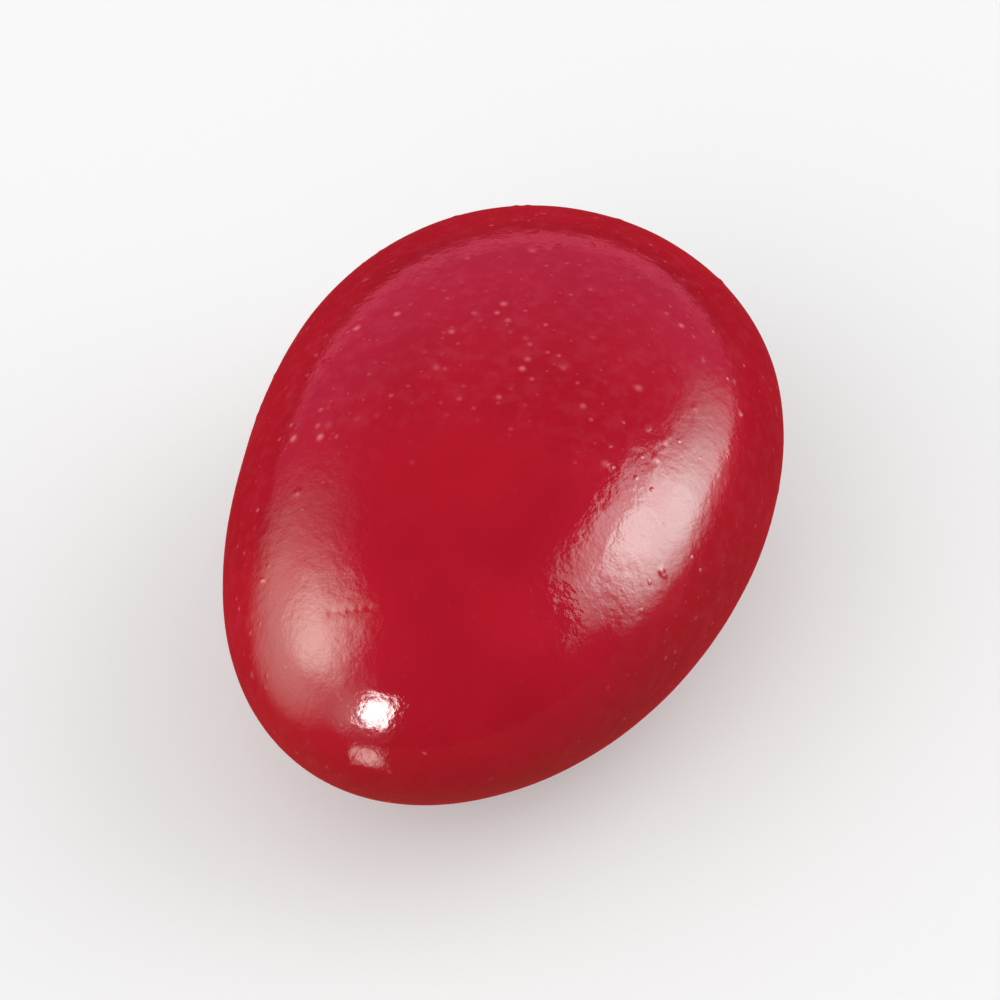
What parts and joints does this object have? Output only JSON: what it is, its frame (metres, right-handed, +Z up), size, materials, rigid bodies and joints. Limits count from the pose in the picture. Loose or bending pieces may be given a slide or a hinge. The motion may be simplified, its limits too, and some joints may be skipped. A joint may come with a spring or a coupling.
{
  "type": "sugared almond",
  "caption": "Plump sugared almond, slightly narrower at its tip, with a polished crimson hard sugar shell, lying on its broad face.",
  "frame": {"origin": "middle of the almond's length and width, on the surface it rests on", "axes": "+X along the length towards the narrower tip, +Y across the width towards the fuller side, +Z up through the thickness"},
  "size_m": [0.027, 0.0184, 0.0124],
  "materials": {
    "sugar_shell": "gloss"
  },
  "bodies": {
    "root": {"sugared_almond": "sugar_shell"}
  },
  "joints": []
}
